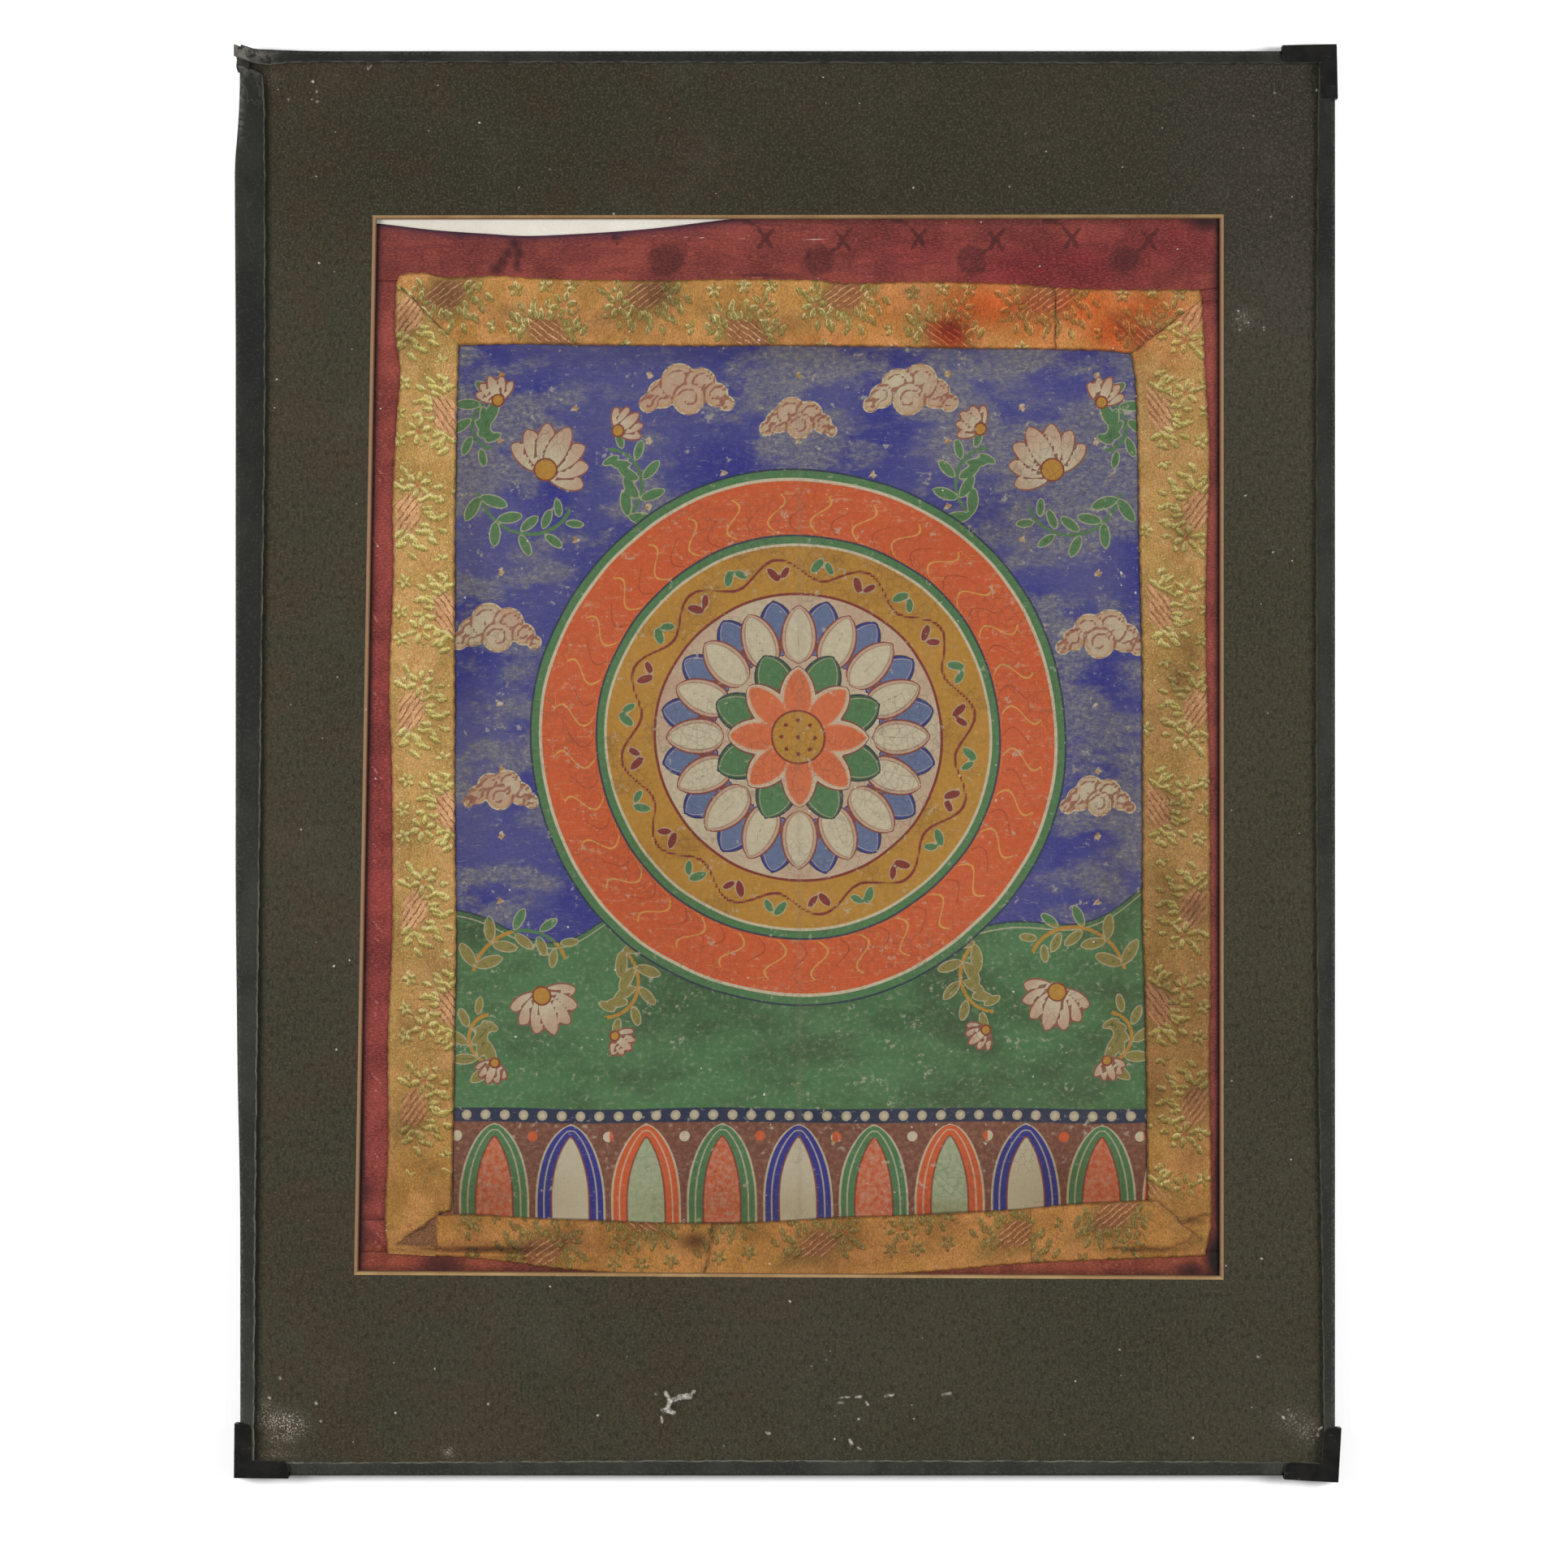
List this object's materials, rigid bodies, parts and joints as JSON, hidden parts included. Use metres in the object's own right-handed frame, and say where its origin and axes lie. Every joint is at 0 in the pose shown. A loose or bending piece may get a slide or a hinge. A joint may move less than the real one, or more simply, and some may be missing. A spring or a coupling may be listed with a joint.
{
  "type": "thangka painting with brocade and silk borders in a taped glass mount",
  "caption": "Painted cotton thangka in brocade and damask silk borders, laid on a board behind a bevelled mat and taped glass.",
  "frame": {"origin": "under the middle of the panel, on the surface it lies on", "axes": "+Z out of the picture, +Y towards the picture's top, +X to the picture's right"},
  "size_m": [0.5042, 0.6546, 0.0141],
  "materials": {
    "backing_board": "warm white backing card, matt",
    "mat_board": "dark olive grey mat card, matt, with a pale core at the bevel",
    "glass_pane": "clear picture glass with dust and smears",
    "painted_cotton": "cotton painted in matt mineral colours, worn through at the folds",
    "brocade": "gold brocade with woven sprays, lightly glossy threads, stained",
    "damask_silk": "maroon damask silk, satin sheen, faded",
    "edge_tape": "dark grey paper tape, matt, wrinkled and worn",
    "corner_cap": "black plastic, half matt"
  },
  "bodies": {
    "root": {"backing_board": "backing_board", "mat_board": "mat_board", "glass_pane": "glass_pane", "painted_cotton": "painted_cotton", "brocade_top_long": "brocade", "brocade_top_short": "brocade", "brocade_left": "brocade", "brocade_right": "brocade", "brocade_bottom_left": "brocade", "brocade_bottom_middle": "brocade", "brocade_bottom_right": "brocade", "silk_top": "damask_silk", "silk_left": "damask_silk", "silk_right": "damask_silk", "silk_bottom": "damask_silk", "silk_patch_left": "damask_silk", "silk_patch_right": "damask_silk", "edge_tape_left": "edge_tape", "edge_tape_top": "edge_tape", "edge_tape_right": "edge_tape", "edge_tape_bottom": "edge_tape", "corner_cap_top_right": "corner_cap", "corner_cap_bottom_left": "corner_cap", "corner_cap_bottom_right": "corner_cap"}
  },
  "joints": []
}
